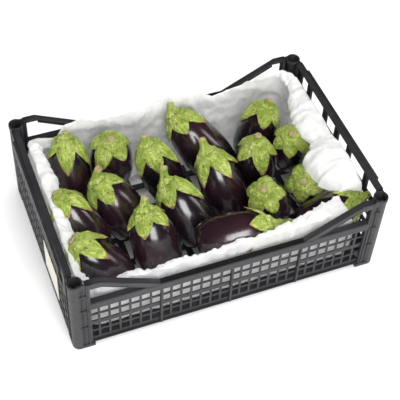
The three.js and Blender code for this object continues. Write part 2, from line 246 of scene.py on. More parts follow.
def skin_material():
    n = Nodes("eggplant_skin")
    blotch = n.noise(n.coords(11), detail=3, distortion=0.4)
    tinge = n.ramp(blotch, (0.42, linear(26, 18, 25)), (0.7, linear(50, 25, 33)))
    end = n.ramp(n.attribute("down"), (0.25, 0.0), (0.75, 0.25))
    colour = n.mix(end, tinge, linear(19, 14, 20))
    streak = n.noise(n.coords(55, stretch=(1, 1, 0.25)), detail=6, rough=0.7)
    colour = n.mix(n.ramp(streak, (0.66, 0.0), (0.85, 0.2)), colour, linear(74, 52, 58))
    speck = n.node("ShaderNodeTexVoronoi", Vector=n.coords(140), Scale=1.0).outputs["Distance"]
    colour = n.mix(n.ramp(speck, (0.035, 0.55), (0.06, 0.0)), colour, linear(150, 120, 105))
    rough = n.ramp(streak, (0.3, 0.2), (0.75, 0.32))
    waves = n.bump(n.noise(n.coords(30), detail=3), 0.3, 0.006)
    pores = n.bump(n.noise(n.coords(1500), detail=2), 0.08, 0.0002, waves)
    n.principled(
        Base_Color=colour, Roughness=rough, Normal=pores,
        Coat_Weight=0.9, Coat_Roughness=0.17, Coat_IOR=1.65,
    )
    return n.material


def calyx_material():
    n = Nodes("calyx_green")
    leaf = n.coords(1, "UV")
    fibres = n.noise(n.coords(1, "UV", (60, 3.5, 1)), detail=5, rough=0.65)
    # The mottling uses the same noise as the bump below, so the rises come out lighter and the hollows
    # darker: partly the calyx's own colour, partly painted relief shading. The fibre darkening follows its
    # bump the same way.
    mottle_and_relief_shade = n.noise(n.coords(48), detail=6, rough=0.7)
    colour = n.ramp(
        mottle_and_relief_shade,
        (0.3, linear(104, 124, 34)),
        (0.44, linear(160, 180, 66)),
        (0.56, linear(196, 210, 104)),
        (0.7, linear(230, 234, 168)),
    )
    colour = n.mix(n.ramp(fibres, (0.42, 0.6), (0.58, 0.0)), colour, linear(104, 134, 40))
    net = n.node("ShaderNodeTexVoronoi", Vector=n.coords(1, "UV", (26, 9, 1)), Scale=1.0)
    net.feature = "DISTANCE_TO_EDGE"
    veins = n.ramp(net.outputs["Distance"], (0.0, 1.0), (0.14, 0.0))
    colour = n.mix(n.maths("MULTIPLY", veins, 0.35), colour, linear(196, 214, 130))
    spots = n.noise(n.coords(210), detail=3, rough=0.6)
    colour = n.mix(n.ramp(spots, (0.58, 0.0), (0.66, 0.85)), colour, linear(104, 86, 50))
    dry = n.ramp(n.attribute("dry"), (0.25, 0.0), (0.8, 1.0))
    dry_colour = n.ramp(fibres, (0.3, linear(120, 76, 48)), (0.7, linear(196, 158, 108)))
    colour = n.mix(dry, colour, dry_colour)
    cut = n.attribute("cut")
    cut_colour = n.ramp(spots, (0.3, linear(190, 154, 108)), (0.7, linear(236, 214, 172)))
    colour = n.mix(cut, colour, cut_colour)
    height = n.maths("ADD", n.maths("MULTIPLY", veins, 0.5), fibres)
    height = n.maths("ADD", height, n.maths("MULTIPLY", mottle_and_relief_shade, 1.4))
    normal = n.bump(height, 1.0, 0.003)
    n.principled(Base_Color=colour, Roughness=0.42, Normal=normal)
    n.shader.inputs["Subsurface Weight"].default_value = 0.12
    n.shader.inputs["Subsurface Radius"].default_value = (0.003, 0.004, 0.001)
    return n.material


def paper_material():
    n = Nodes("tissue_paper")
    soft = n.noise(n.coords(14), detail=5, rough=0.6)
    colour = n.ramp(soft, (0.3, linear(236, 236, 236)), (0.7, linear(246, 246, 245)))
    warped = n.node("ShaderNodeTexVoronoi", Vector=n.coords(36), Scale=1.0).outputs["Distance"]
    fine = n.node("ShaderNodeTexVoronoi", Vector=n.coords(110), Scale=1.0).outputs["Distance"]
    creases = n.bump(warped, 0.35, 0.006)
    creases = n.bump(fine, 0.25, 0.0016, creases)
    n.principled(Base_Color=colour, Roughness=0.75, Normal=creases)
    glow = n.node("ShaderNodeBsdfTranslucent", Color=linear(244, 244, 242), Normal=creases)
    both = n.node("ShaderNodeMixShader")
    both.inputs[0].default_value = 0.35
    n.link(n.shader.outputs[0], both.inputs[1])
    n.link(glow.outputs[0], both.inputs[2])
    n.link(both.outputs[0], n.out.inputs["Surface"])
    return n.material


def card_material():
    n = Nodes("cream_card")
    flecks = n.noise(n.coords(300), detail=4)
    colour = n.ramp(flecks, (0.3, linear(222, 218, 204)), (0.7, linear(232, 229, 216)))
    n.principled(Base_Color=colour, Roughness=0.8, Normal=n.bump(flecks, 0.2, 0.0002))
    return n.material


def floor_material():
    n = Nodes("studio_floor")
    cloud = n.noise(n.coords(2), detail=3)
    n.principled(Base_Color=n.ramp(cloud, (0.0, 0.93), (1.0, 0.96)), Roughness=0.9)
    return n.material


# ---- moulded crate ----


def rectangle(x0, x1, z0, z1):
    return [(x0, z0), (x1, z0), (x1, z1), (x0, z1)]


def plate(outer, holes=(), front=0.0, depth=PLATE, edge=EDGE):
    """A plate with rounded edges, drawn in (along, up) and stood up behind the plane y = front."""
    curve = bpy.data.curves.new("plate", "CURVE")
    curve.dimensions = "2D"
    curve.fill_mode = "BOTH"
    curve.extrude = (depth / 2 - edge) * MM
    curve.bevel_depth = edge * MM
    curve.bevel_resolution = 1
    curve.offset = -edge * MM
    for points in [outer, *holes]:
        spline = curve.splines.new("POLY")
        spline.points.add(len(points) - 1)
        for point, (x, z) in zip(spline.points, points):
            point.co = (x * MM, z * MM, 0, 1)
        spline.use_cyclic_u = True
    holder = bpy.data.objects.new("plate", curve)
    bpy.context.collection.objects.link(holder)
    mesh = bpy.data.meshes.new_from_object(holder.evaluated_get(bpy.context.evaluated_depsgraph_get()))
    bpy.data.objects.remove(holder)
    bpy.data.curves.remove(curve)
    mesh.transform(Matrix.Rotation(math.radians(90), 4, "X"))
    mesh.transform(Matrix.Translation((0, (front + depth / 2) * MM, 0)))
    return mesh


def block(xs, ys, zs, edge=EDGE):
    """A box with rounded edges between two corners."""
    made = bmesh.new()
    bmesh.ops.create_cube(made, size=1)
    size = [abs(b - a) * MM for a, b in (xs, ys, zs)]
    middle = [(a + b) / 2 * MM for a, b in (xs, ys, zs)]
    bmesh.ops.scale(made, vec=size, verts=made.verts)
    bmesh.ops.translate(made, vec=middle, verts=made.verts)
    bmesh.ops.bevel(made, geom=made.edges, offset=min(edge * MM, min(size) / 3), segments=2, affect="EDGES")
    mesh = bpy.data.meshes.new("block")
    made.to_mesh(mesh)
    made.free()
    return mesh


def turned(profile, sides=48):
    """A closed shape turned about Z, from (radius, height) pairs that end on one ring or on the axis."""
    made = bmesh.new()
    rings = []
    for radius, z in profile:
        if radius == 0:
            rings.append([made.verts.new((0, 0, z * MM))])
            continue
        step = 2 * math.pi / sides
        rings.append(
            [
                made.verts.new((radius * MM * math.cos(k * step), radius * MM * math.sin(k * step), z * MM))
                for k in range(sides)
            ]
        )
    for lower, upper in zip(rings, rings[1:]):
        join_rings(made, lower, upper)
    bmesh.ops.recalc_face_normals(made, faces=made.faces)
    mesh = bpy.data.meshes.new("turned")
    made.to_mesh(mesh)
    made.free()
    smooth(mesh)
    return mesh


def join_rings(made, lower, upper):
    count = max(len(lower), len(upper))
    for k in range(count):
        a, b = lower[k % len(lower)], lower[(k + 1) % len(lower)]
        c, d = upper[(k + 1) % len(upper)], upper[k % len(upper)]
        corners = [v for i, v in enumerate((a, b, c, d)) if v not in (a, b, c, d)[:i]]
        made.faces.new(corners)


def merge(meshes, turn=0.0, at=(0, 0, 0)):
    """One mesh of several, turned about Z and moved."""
    made = bmesh.new()
    for mesh in meshes:
        made.from_mesh(mesh)
        bpy.data.meshes.remove(mesh)
    whole = bpy.data.meshes.new("moulding")
    made.to_mesh(whole)
    made.free()
    whole.transform(Matrix.Translation(Vector(at) * MM) @ Matrix.Rotation(turn, 4, "Z"))
    return whole


def grille_rows(top):
    """(low, high) of each row of holes: two rows, the broad band, two rows, and a sliver below the top."""
    rows = []
    z = FOOT + GRILLE_BASE
    for gap in (WIRE, BAND, WIRE, WIRE):
        rows.append((z, z + HOLE_HEIGHT))
        z += HOLE_HEIGHT + gap
    rows.append((z, min(z + HOLE_HEIGHT, top - WIRE)))
    return rows


def grille(half, columns, top, front, skirt=0):
    edge = []
    if skirt:
        edge = [
            (-SKIRT_HALF, FOOT), (-SKIRT_HALF, FOOT - skirt),
            (SKIRT_HALF, FOOT - skirt), (SKIRT_HALF, FOOT),
        ]
    outer = [(-half, FOOT), *edge, (half, FOOT), (half, top), (-half, top)]
    pitch = 2 * half / columns
    holes = [
        rectangle(-half + k * pitch + WIRE / 2, -half + (k + 1) * pitch - WIRE / 2, low, high)
        for low, high in grille_rows(top)
        for k in range(columns)
    ]
    return plate(outer, holes, front, PLATE)


def long_grille():
    face = -WIDTH / 2
    front = face + GRILLE_SET_IN
    pieces = [grille(LONG_HALF, LONG_COLUMNS, RIM - PLATE, front, SKIRT_DROP)]
    pitch = 2 * LONG_HALF / LONG_COLUMNS
    for k in range(0, LONG_COLUMNS + 1, RIB_EVERY):
        x = min(max(-LONG_HALF + k * pitch, -LONG_HALF + WIRE / 2), LONG_HALF - WIRE / 2)
        pieces.append(block((x - 2.2, x + 2.2), (face + 1.5, front + 1), (FOOT, RIM - PLATE - 1)))
    pieces.append(block((-LONG_HALF, LONG_HALF), (face + 2.5, front + 1), (FOOT, FOOT + 3)))
    return pieces


def rail_top():
    level = LONG_HALF - LEVEL
    half = [(RISE_START, RIM), (level, HEIGHT), (LONG_HALF, HEIGHT)]
    return [(-x, z) for x, z in reversed(half)] + half


def long_rail():
    face = -WIDTH / 2
    top = rail_top()
    outer = [(-LONG_HALF, RIM - LIP), (LONG_HALF, RIM - LIP), *reversed(top)]
    level = LONG_HALF - LEVEL
    run = (HEIGHT - RAIL - RIM) * (level - RISE_START) / (HEIGHT - RIM)
    inner = level - RAIL * GAP_TIP_IN
    outside = LONG_HALF - PLATE
    half_gap = [(outside, RIM), (inner - run, RIM), (inner, HEIGHT - RAIL), (outside, HEIGHT - RAIL)]
    gaps = [half_gap, [(-x, z) for x, z in half_gap]]
    strip = [*reversed(top), *[(x, z - PLATE) for x, z in top]]
    under = [(x, z) for x, z in half_gap[1:3]]
    ribs = []
    for s in (-1, 1):
        (x0, z0), (x1, z1) = under
        bar = [(s * x0, z0), (s * x1, z1), (s * x1, z1 + 2.5), (s * x0, z0 + 2.5)]
        ribs.append(plate(bar, (), face, FLANGE - 3, 0.5))
    return [
        plate(outer, gaps, face, PLATE),
        plate(strip, (), face, FLANGE, 0.9),
        block((-LONG_HALF, LONG_HALF), (face, face + FLANGE), (RIM - PLATE, RIM), 0.9),
        *ribs,
    ]


def window_rows():
    bar = (2 * SHORT_HALF - sum(WINDOW_WIDTHS)) / (len(WINDOW_WIDTHS) + 1)
    low = HEIGHT - END_BAND + WINDOW_LIFT
    x = -SHORT_HALF + bar
    windows = []
    for width in WINDOW_WIDTHS:
        windows.append(rectangle(x, x + width, low, low + WINDOW_HEIGHT))
        x += width + bar
    return windows


def short_rail():
    face = -LENGTH / 2
    split = HEIGHT - END_BAND
    grip = SHORT_HALF - GRIP_END
    windows = window_rows()
    pieces = [
        plate(rectangle(-SHORT_HALF, SHORT_HALF, split, HEIGHT), windows, face, PLATE),
        block((-SHORT_HALF, SHORT_HALF), (face, face + END_FLANGE), (HEIGHT - PLATE, HEIGHT), 0.9),
        block((-grip, grip), (face - GRIP_OUT, face + 2), (HEIGHT - GRIP_HEIGHT, HEIGHT), 1.2),
        block((-SHORT_HALF, SHORT_HALF), (face + 1, face + 8), (split + 4, split + 7)),
    ]
    for window in windows[1:]:
        x = window[0][0] - 3
        pieces.append(block((x - 1.2, x + 1.2), (face + 1, face + 8), (split + 4, HEIGHT - 1)))
    return pieces


def arm(in_x, in_y, along_y):
    """The face panel of a post with its ribs and shelves, from the post's axis along X or Y."""

    def piece(along, across, up):
        a = [v * (in_y if along_y else in_x) for v in along]
        b = [v * (in_x if along_y else in_y) for v in across]
        return block(b, a, up) if along_y else block(a, b, up)

    face = (-POST_RADIUS, -POST_RADIUS + PLATE)
    deep = (-POST_RADIUS, -POST_RADIUS + FLANGE)
    pieces = [
        piece((0, PANEL), (face[0] + 2, face[1] + 2), (FOOT, HEIGHT)),
        piece((PANEL - PLATE, PANEL), deep, (FOOT, HEIGHT)),
        piece((PANEL / 2 - 0.5, PANEL / 2 + 1.5), (face[0] + 0.4, face[1]), (FOOT, HEIGHT - 16)),
        piece((0, FOOT_REACH), (deep[0], deep[1]), (0.4, FOOT + 1)),
    ]
    for share in SHELF_SHARES:
        z = FOOT + share * (HEIGHT - FOOT)
        pieces.append(piece((0, PANEL), deep, (z, z + PLATE)))
    return pieces


def post(in_x, in_y):
    tube = [
        (0, 0),
        (POST_RADIUS - 0.8, 0),
        (POST_RADIUS, 0.8),
        (POST_RADIUS, HEIGHT - 9),
        (POST_RADIUS + 0.9, HEIGHT - 8.2),
        (POST_RADIUS + 0.9, HEIGHT - 0.8),
        (POST_RADIUS + 0.2, HEIGHT),
        (SOCKET_RADIUS + 0.5, HEIGHT),
        (SOCKET_RADIUS, HEIGHT - 0.8),
        (SOCKET_RADIUS, HEIGHT - SOCKET_DEPTH),
        (0, HEIGHT - SOCKET_DEPTH),
    ]
    return [turned(tube), *arm(in_x, in_y, False), *arm(in_x, in_y, True)]


def floor_plate():
    x = LENGTH / 2 - PLATE
    y = WIDTH / 2 - GRILLE_SET_IN - PLATE
    quarter = [(x, SHORT_HALF), (LONG_HALF, SHORT_HALF), (LONG_HALF, y)]
    outer = (
        quarter
        + [(-a, b) for a, b in reversed(quarter)]
        + [(-a, -b) for a, b in quarter]
        + [(a, -b) for a, b in reversed(quarter)]
    )
    columns, rows = SLOTS
    step_x, step_y = 2 * LONG_HALF / columns, 2 * SHORT_HALF / rows
    holes = []
    for i in range(columns):
        for j in range(rows):
            x0 = -LONG_HALF + i * step_x + SLOT_BAR / 2
            y0 = -SHORT_HALF + j * step_y + SLOT_BAR / 2
            holes.append(rectangle(x0, x0 + step_x - SLOT_BAR, y0, y0 + step_y - SLOT_BAR))
    mesh = plate(outer, holes, 0, FLOOR_PLATE)
    mesh.transform(Matrix.Rotation(math.radians(-90), 4, "X"))
    mesh.transform(Matrix.Translation((0, 0, (FOOT + FLOOR_PLATE) * MM)))
    return mesh


def build_crate():
    material = plastic_material()

    def add(name, pieces, turn=0.0, at=(0, 0, 0)):
        place(merge(pieces, turn, at), f"{name}_moulding", [name], material)

    for side, turn in (("front", 0), ("back", math.pi)):
        add(f"{side}_grille", long_grille(), turn)
        add(f"{side}_rail", long_rail(), turn)
    for side, turn in (("left", -math.pi / 2), ("right", math.pi / 2)):
        grid = grille(SHORT_HALF, SHORT_COLUMNS, HEIGHT - END_BAND, -LENGTH / 2)
        add(f"{side}_grille", [grid], turn)
        add(f"{side}_rail", short_rail(), turn)
    corners = {"front_left": (-1, -1), "front_right": (1, -1), "back_right": (1, 1), "back_left": (-1, 1)}
    for name, (sx, sy) in corners.items():
        add(f"post_{name}", post(-sx, -sy), 0, (sx * POST_X, sy * POST_Y, 0))
    add("floor", [floor_plate()])


# ---- fruits ----


def spline_point(u):
    """The fruit's outline at u from 0 to 1, on a Catmull-Rom curve through OUTLINE."""
    last = len(OUTLINE) - 1
    at = min(max(u, 0), 1) * last
    i = min(int(at), last - 1)
    t = at - i
    p0, p1 = OUTLINE[max(i - 1, 0)], OUTLINE[i]
    p2, p3 = OUTLINE[i + 1], OUTLINE[min(i + 2, last)]
    out = []
    for a, b, c, d in zip(p0, p1, p2, p3):
        v0, v1 = (c - a) / 2, (d - b) / 2
        out.append((2 * b - 2 * c + v0 + v1) * t**3 + (-3 * b + 3 * c - 2 * v0 - v1) * t * t + v0 * t + b)
    return out


class Fruit:
    def __init__(self, number, row):
        at, lean, bearing, self.length, self.radius, turn, self.stem, self.bend = row
        self.number = number
        self.turn = math.radians(turn)
        lean, bearing = math.radians(lean), math.radians(bearing)
        self.axis = Vector(
            (math.sin(lean) * math.cos(bearing), math.sin(lean) * math.sin(bearing), math.cos(lean))
        )
        across, back, up = at
        middle = Vector((across, back - WIDTH / 2, up))
        base = (middle - self.axis * self.length / 2) * MM
        turned_up = Vector((0, 0, 1)).rotation_difference(self.axis).to_matrix().to_4x4()
        self.matrix = Matrix.Translation(base) @ turned_up
        self.inverse = self.matrix.inverted()
        self.random = random.Random(40 + number)

    def skin(self, down, off=0.0):
        """(radius, height) in mm on the outline, `down` from the stem end and `off` out from the skin."""
        u = 1 - down
        r, z = spline_point(u)
        r1, z1 = spline_point(u + 0.01)
        r0, z0 = spline_point(u - 0.01)
        normal = Vector(((z1 - z0) * self.length, -(r1 - r0) * self.radius)).normalized()
        return max(r * self.radius + normal.x * off, 0), z * self.length + normal.y * off

    def swell(self, angle, height):
        """The fruit's own unevenness, as a factor on its radius."""
        where = Vector((math.cos(angle), math.sin(angle), height / self.length * 1.6 + self.number * 7))
        return 1 + 0.022 * noise.noise(where * 0.9) + 0.006 * math.cos(3 * angle + self.number)


def fruit_mesh(fruit, rings=40, sides=64):
    made = bmesh.new()
    down = made.verts.layers.float.new("down")
    rows = []
    for k in range(rings + 1):
        share = k / rings
        share = 0.5 - 0.5 * math.cos(math.pi * share)
        radius, z = fruit.skin(1 - share)
        if k in (0, rings):
            row = [made.verts.new((0, 0, z * MM))]
        else:
            row = []
            for j in range(sides):
                angle = 2 * math.pi * j / sides
                r = radius * fruit.swell(angle, z) * MM
                row.append(made.verts.new((r * math.cos(angle), r * math.sin(angle), z * MM)))
        for vert in row:
            vert[down] = 1 - share
        rows.append(row)
    for lower, upper in zip(rows, rows[1:]):
        join_rings(made, lower, upper)
    bmesh.ops.recalc_face_normals(made, faces=made.faces)
    mesh = bpy.data.meshes.new("fruit")
    made.to_mesh(mesh)
    made.free()
    smooth(mesh)
    mesh.transform(fruit.matrix)
    return mesh


CALYX_SIDES = 160
CAP_ROWS = 16
STEM_ROWS = 10
NOTCH = 0.13
LOBE_HALF_WIDTH = 44  # degrees, at the notch


def lobes_of(fruit):
    """(bearing, reach, lift) of each lobe, counted round from the fruit's own turn."""
    chance = random.Random(LOBE_SEED + fruit.number)
    first = math.degrees(fruit.turn) + LOBE_START
    lobes = []
    for k in range(LOBES):
        bearing = first + 360 / LOBES * k + chance.uniform(-LOBE_SWAY, LOBE_SWAY)
        lobes.append((bearing % 360, chance.uniform(*LOBE_REACH), chance.uniform(*LOBE_LIFT)))
    return lobes


def lobe_shape(x):
    """Reach across a lobe, x from 0 at its middle to 1 at its flank: a drawn-out point on full shoulders."""
    x = min(abs(x), 1)
    return 0.42 * (1 - x) ** 1.6 + 0.58 * (1 - x**1.7)


def turn_between(a, b):
    """The signed turn from a to b, in degrees."""
    return (b - a + 180) % 360 - 180


class Calyx:
    """The outline and the rise of one fruit's calyx, by the bearing round the stem."""

    def __init__(self, fruit, lobes):
        self.fruit = fruit
        self.lobes = [(*lobe, fruit.random.uniform(0.3, 1)) for lobe in lobes]
        self.seed = fruit.number * 13.7

    def at(self, bearing):
        """(reach, lift of the edge, share of the way to a lobe's tip, dryness) at a bearing in degrees."""
        found = (NOTCH, 0.6, 0.0, 0.0)
        ragged = 0.008 * noise.noise(Vector((bearing / 5, self.seed, 0)))
        for middle, reach, lift, dryness in self.lobes:
            x = turn_between(middle, bearing) / LOBE_HALF_WIDTH
            if abs(x) >= 1:
                continue
            shape = lobe_shape(x)
            here = NOTCH + (reach - NOTCH) * shape + ragged
            if here > found[0]:
                found = (here, lift * shape**2 + 0.5, shape, dryness)
        return found


def stem_point(fruit, angle, radius, z):
    rise = max(z - fruit.length, 0) / fruit.stem
    bend = fruit.bend * rise * rise
    lean = 2 * fruit.bend * rise / fruit.stem
    x, y = radius * math.cos(angle), radius * math.sin(angle)
    towards = Vector((math.cos(fruit.turn), math.sin(fruit.turn)))
    along = (x * towards.x + y * towards.y) * rise
    tilt = math.atan(lean)
    drop = along * math.sin(tilt)
    short = along * (1 - math.cos(tilt))
    return Vector((x + (bend - short) * towards.x, y + (bend - short) * towards.y, z - drop))


def calyx_mesh(fruit, lobes):
    calyx = Calyx(fruit, lobes)
    made = bmesh.new()
    uv = made.loops.layers.uv.new("leaf")
    dry = made.verts.layers.float.new("dry")
    cut = made.verts.layers.float.new("cut")
    coords = {}
    base, tip = fruit.radius * 0.15, fruit.radius * 0.135
    top, neck = fruit.length + fruit.stem, fruit.length + 7
    neck = min(neck, top - 4)
    crown = made.verts.new(stem_point(fruit, 0, 0, top - 0.5) * MM)
    crown[cut] = 1
    rows = [[crown]]
    steps = [(j / CALYX_SIDES) for j in range(CALYX_SIDES)]

    def ridges(turn):
        angle = turn * 2 * math.pi
        return 0.07 * math.cos(5 * angle + fruit.number) + 0.03 * math.cos(11 * angle)

    for k in range(STEM_ROWS):
        share = k / (STEM_ROWS - 1)
        row = []
        for turn in steps:
            if k == 0:
                radius, z, ridge = tip * 0.82, top, 1
            else:
                flare = 1.25 * base * share**4
                radius = tip + (base - tip) * share + flare + 0.8 * max(0, 0.16 - share) / 0.16
                z = top - 0.7 - (top - 0.7 - neck) * share
                ridge = 1 + ridges(turn) * (0.5 + share)
            wobble = 1 + 0.05 * noise.noise(Vector((turn * 9, z * 0.12, calyx.seed)))
            vert = made.verts.new(stem_point(fruit, turn * 2 * math.pi, radius * ridge * wobble, z) * MM)
            vert[cut] = 1.0 if k == 0 else max(0.0, 0.7 - 5 * share)
            coords[vert] = (turn, -0.3 * share)
            row.append(vert)
        rows.append(row)
    start_radius = (base + 1.25 * base)
    start = 0.012
    for k in range(1, CAP_ROWS + 1):
        share = (k / CAP_ROWS) ** 1.15
        row = []
        for turn in steps:
            bearing = turn * 360
            reach, edge_lift, shape, dryness = calyx.at(bearing)
            down = start + (reach - start) * share
            round_stem = (math.cos(turn * 6.28) * 2.2, math.sin(turn * 6.28) * 2.2)
            puff = noise.noise(Vector((*round_stem, down * 9 + calyx.seed)))
            wrinkle = noise.noise(Vector((turn * 30, down * 26, calyx.seed)))
            rib = math.cos(turn * 2 * math.pi * 5 + fruit.number) * math.exp(-((down - 0.05) / 0.07) ** 2)
            lift = 1.1 + 1.5 * math.sin(math.pi * share) + edge_lift * share**3.5
            lift += (1.5 * puff + 1.5 * wrinkle) * min(share * 2, 1) + 1.0 * rib
            radius, z = fruit.skin(down, max(lift, 0.5))
            near = math.exp(-max(radius - start_radius, 0) / 4.5)
            z += 4.2 * near
            radius = max(radius, start_radius + 0.8 * k) if radius < start_radius + 0.8 * k else radius
            radius *= fruit.swell(turn * 2 * math.pi, z)
            vert = made.verts.new(stem_point(fruit, turn * 2 * math.pi, radius, min(z, neck - 0.15 * k)) * MM)
            edge = max(0.0, share - 0.9) / 0.1
            vert[dry] = min(1.0, 0.5 * edge + dryness * max(0.0, shape * share - 0.8) * 5.5)
            coords[vert] = (turn, share)
            row.append(vert)
        rows.append(row)
    for lower, upper in zip(rows, rows[1:]):
        join_rings(made, lower, upper)
    bmesh.ops.recalc_face_normals(made, faces=made.faces)
    for face in made.faces:
        for loop in face.loops:
            loop[uv].uv = coords.get(loop.vert, (0.5, -0.3))
    mesh = bpy.data.meshes.new("calyx")
    made.to_mesh(mesh)
    made.free()
    smooth(mesh)
    mesh.transform(fruit.matrix)
    return mesh


def build_fruits():
    skin, green = skin_material(), calyx_material()
    fruits = [Fruit(k + 1, row) for k, row in enumerate(FRUITS)]
    for fruit in fruits:
        tag = f"eggplant_{fruit.number:02d}"
        place(fruit_mesh(fruit), f"{tag}_body", [f"{tag}_fruit"], skin)
        cap = place(calyx_mesh(fruit, lobes_of(fruit)), f"{tag}_cap", [f"{tag}_calyx"], green)
        shell = cap.modifiers.new("thickness", "SOLIDIFY")
        shell.thickness = 1.1 * MM
        shell.offset = 1
    return fruits


# ---- tissue paper ----

PAPER_X, PAPER_Y, PAPER_CORNER = 276, 186, 48
FLOOR_LEVEL = 15
FLOOR_MARGIN = 38  # how far the paper turns in over the floor
FLOOR_INSET = 10  # from the outline to the foot of the paper wall
AROUND = 760
FLOOR_ROWS, WALL_ROWS, FLAP_ROWS = 9, 26, 22

# Along the edge: (side, place along it, crest height, crest inset, flap inset, flap end height, bulge)
EDGE_KEYS = (
    ("front", -225, 136, 6, 24, 122, 2),
    ("front", -150, 144, 4, 22, 130, 2),
    ("front", 0, 146, 4, 17, 134, 2),
    ("front", 63, 149, 3, 16, 140, 2),
    ("front", 144, 151, 4, 28, 146, 1),
    ("front", 200, 152, 4, 42, 150, 1),
    ("front", 226, 152, 5, 46, 150, 0),
    ("front", 233, 138, 4, 30, 132, 0),
    ("front", 240, 122, 4, 10, 118, 0),
    ("right", -150, 118, 3, 8, 112, 0),
    ("right", -134, 168, 3, 44, 142, 5),
    ("right", -95, 178, 2, 70, 140, 12),
    ("right", -50, 177, 2, 78, 142, 12),
    ("right", -8, 170, 4, 46, 152, 2),
    ("right", 28, 174, 3, 58, 148, 9),
    ("right", 90, 172, 3, 44, 146, 5),
    ("right", 138, 170, 3, 24, 150, 4),
    ("back", 225, 170, 4, 14, 164, 3),
    ("back", 190, 160, 3, 6, 156, 0),
    ("back", 150, 146, 2, 4, 142, 0),
    ("back", 110, 137, 1, 3, 133, 0),
    ("back", 84, 148, -6, -12, 140, 0),
    ("back", 40, 152, -8, -16, 140, 0),
    ("back", 0, 149, -7, -14, 139, 0),
    ("back", -40, 146, 0, 3, 142, 0),
    ("back", -80, 150, 2, 5, 146, 0),
    ("back", -120, 148, 2, 6, 145, 0),
    ("back", -155, 163, 2, 6, 158, 1),
    ("back", -190, 158, 3, 8, 152, 1),
    ("back", -212, 136, 8, 22, 126, 0),
    ("left", 138, 168, 4, 30, 148, 3),
    ("left", 60, 167, 3, 36, 134, 5),
    ("left", -60, 163, 3, 32, 130, 5),
    ("left", -140, 150, 4, 22, 124, 3),
)


def rim_point(s, inset):
    """A point on the rounded rectangle at s from 0 to 1, front left round to the right, moved inward."""
    a, b, c = PAPER_X, PAPER_Y, PAPER_CORNER
    straight = (2 * (a - c), 2 * (b - c))
    quarter = math.pi * c / 2
    at = s * (2 * sum(straight) + 4 * quarter)
    corner = ((a - c, -b + c), (a - c, b - c), (-a + c, b - c), (-a + c, -b + c))
    starts = ((-a + c, -b, 1, 0), (a, -b + c, 0, 1), (a - c, b, -1, 0), (-a, b - c, 0, -1))
    for k in range(4):
        length = straight[k % 2]
        if at <= length:
            x, y, dx, dy = starts[k]
            return Vector((x + dx * at - dy * inset, y + dy * at + dx * inset, 0))
        at -= length
        if at <= quarter or k == 3:
            x, y = corner[k]
            angle = math.radians(90 * k - 90) + at / c
            reach = max(c - inset, 2)
            return Vector((x + reach * math.cos(angle), y + reach * math.sin(angle), 0))
        at -= quarter
    return Vector((0, 0, 0))


def key_share(side, along):
    """Where a key's place lies round the edge, from 0 to 1, on the line of the wall itself."""
    a, b, c = PAPER_X, PAPER_Y, PAPER_CORNER
    sx, sy, quarter = 2 * (a - c), 2 * (b - c), math.pi * c / 2
    whole = 2 * (sx + sy) + 4 * quarter
    start = {
        "front": 0,
        "right": sx + quarter,
        "back": sx + sy + 2 * quarter,
        "left": 2 * sx + sy + 3 * quarter,
    }
    run = {"front": along + a - c, "right": along + b - c, "back": a - c - along, "left": b - c - along}
    return ((start[side] + run[side]) / whole) % 1


def edge_values(s):
    """The edge keys blended at s, with a soft step between neighbours."""
    keys = sorted((key_share(k[0], k[1]), k[2:]) for k in EDGE_KEYS)
    shares = [k[0] for k in keys]
    after = next((i for i, v in enumerate(shares) if v > s), 0)
    before = after - 1
    gap = (shares[after] - shares[before]) % 1
    t = ((s - shares[before]) % 1) / max(gap, 1e-6)
    t = t * t * (3 - 2 * t)
    return [p + (q - p) * t for p, q in zip(keys[before][1], keys[after][1])]


def crumple(point, size, seed=0.0):
    """From -0.5 to 0.5: smooth facets that meet in sharp creases, about `size` mm across."""
    where = point / size + Vector((seed, seed * 2, 0))
    where += 0.4 * noise.noise_vector(where * 0.6)
    return 0.5 - 2.2 * min(abs(noise.noise(where)), abs(noise.noise(where * 0.83 + Vector((7, 3, 1)))) + 0.02)


def paper_section(s):
    """Points in mm from the middle of the floor out to the paper's free edge, at s round the crate."""
    crest, crest_in, flap_in, flap_z, bulge = edge_values(s)
    tear = noise.fractal(Vector((s * 130, 3, 0)), 0.8, 2.2, 4)
    crest += (3.5 if 0.42 < s < 0.6 else 1.2) * tear
    spike = max(0.0, noise.noise(Vector((s * 75, 9, 0))) - 0.25)
    crest += 2.5 * noise.noise(Vector((s * 24, 0, 0)))
    flap_z += 4 * tear + 16 * spike * (flap_in < 20)
    flap_in += 5 * tear
    points = []
    # Only a band of paper turns in over the floor. Its middle is left bare so that the crate's dark floor
    # stands in for the shade between the fruits.
    for k in range(FLOOR_ROWS):
        turned_in = FLOOR_MARGIN * (1 - k / FLOOR_ROWS) + 6 * tear * (k == 0)
        points.append((rim_point(s, FLOOR_INSET + turned_in), FLOOR_LEVEL, 0.2))
    for k in range(WALL_ROWS):
        share = k / (WALL_ROWS - 1)
        lean = 8 * (1 - share) ** 3 + 1.5
        inset = lean + (crest_in - 1.5) * share**4
        z = FLOOR_LEVEL + 2 + (crest - FLOOR_LEVEL - 2) * share
        points.append((rim_point(s, inset), z, 0.35 + 0.65 * share))
    for k in range(1, FLAP_ROWS + 1):
        share = k / FLAP_ROWS
        inset = crest_in + (flap_in - crest_in) * math.sin(share * math.pi / 2) ** 1.2
        z = crest + (flap_z - crest) * share**1.6 + bulge * math.sin(math.pi * share)
        points.append((rim_point(s, inset), z, 1.0))
    return points


def push_off_fruits(point, fruits, gap=2.5):
    """Moves a point in metres out of any fruit that it is inside, and off its skin."""
    for fruit in fruits:
        local = fruit.inverse @ point
        z = local.z / MM
        if not -4 < z < fruit.length + 6:
            continue
        share = min(max(z / fruit.length, 0), 1)
        limit = fruit_radius(fruit, share) + gap
        radius = math.hypot(local.x, local.y) / MM
        if radius < limit:
            scale = limit / max(radius, 1e-3)
            local.x *= scale
            local.y *= scale
            point = fruit.matrix @ local
    return point


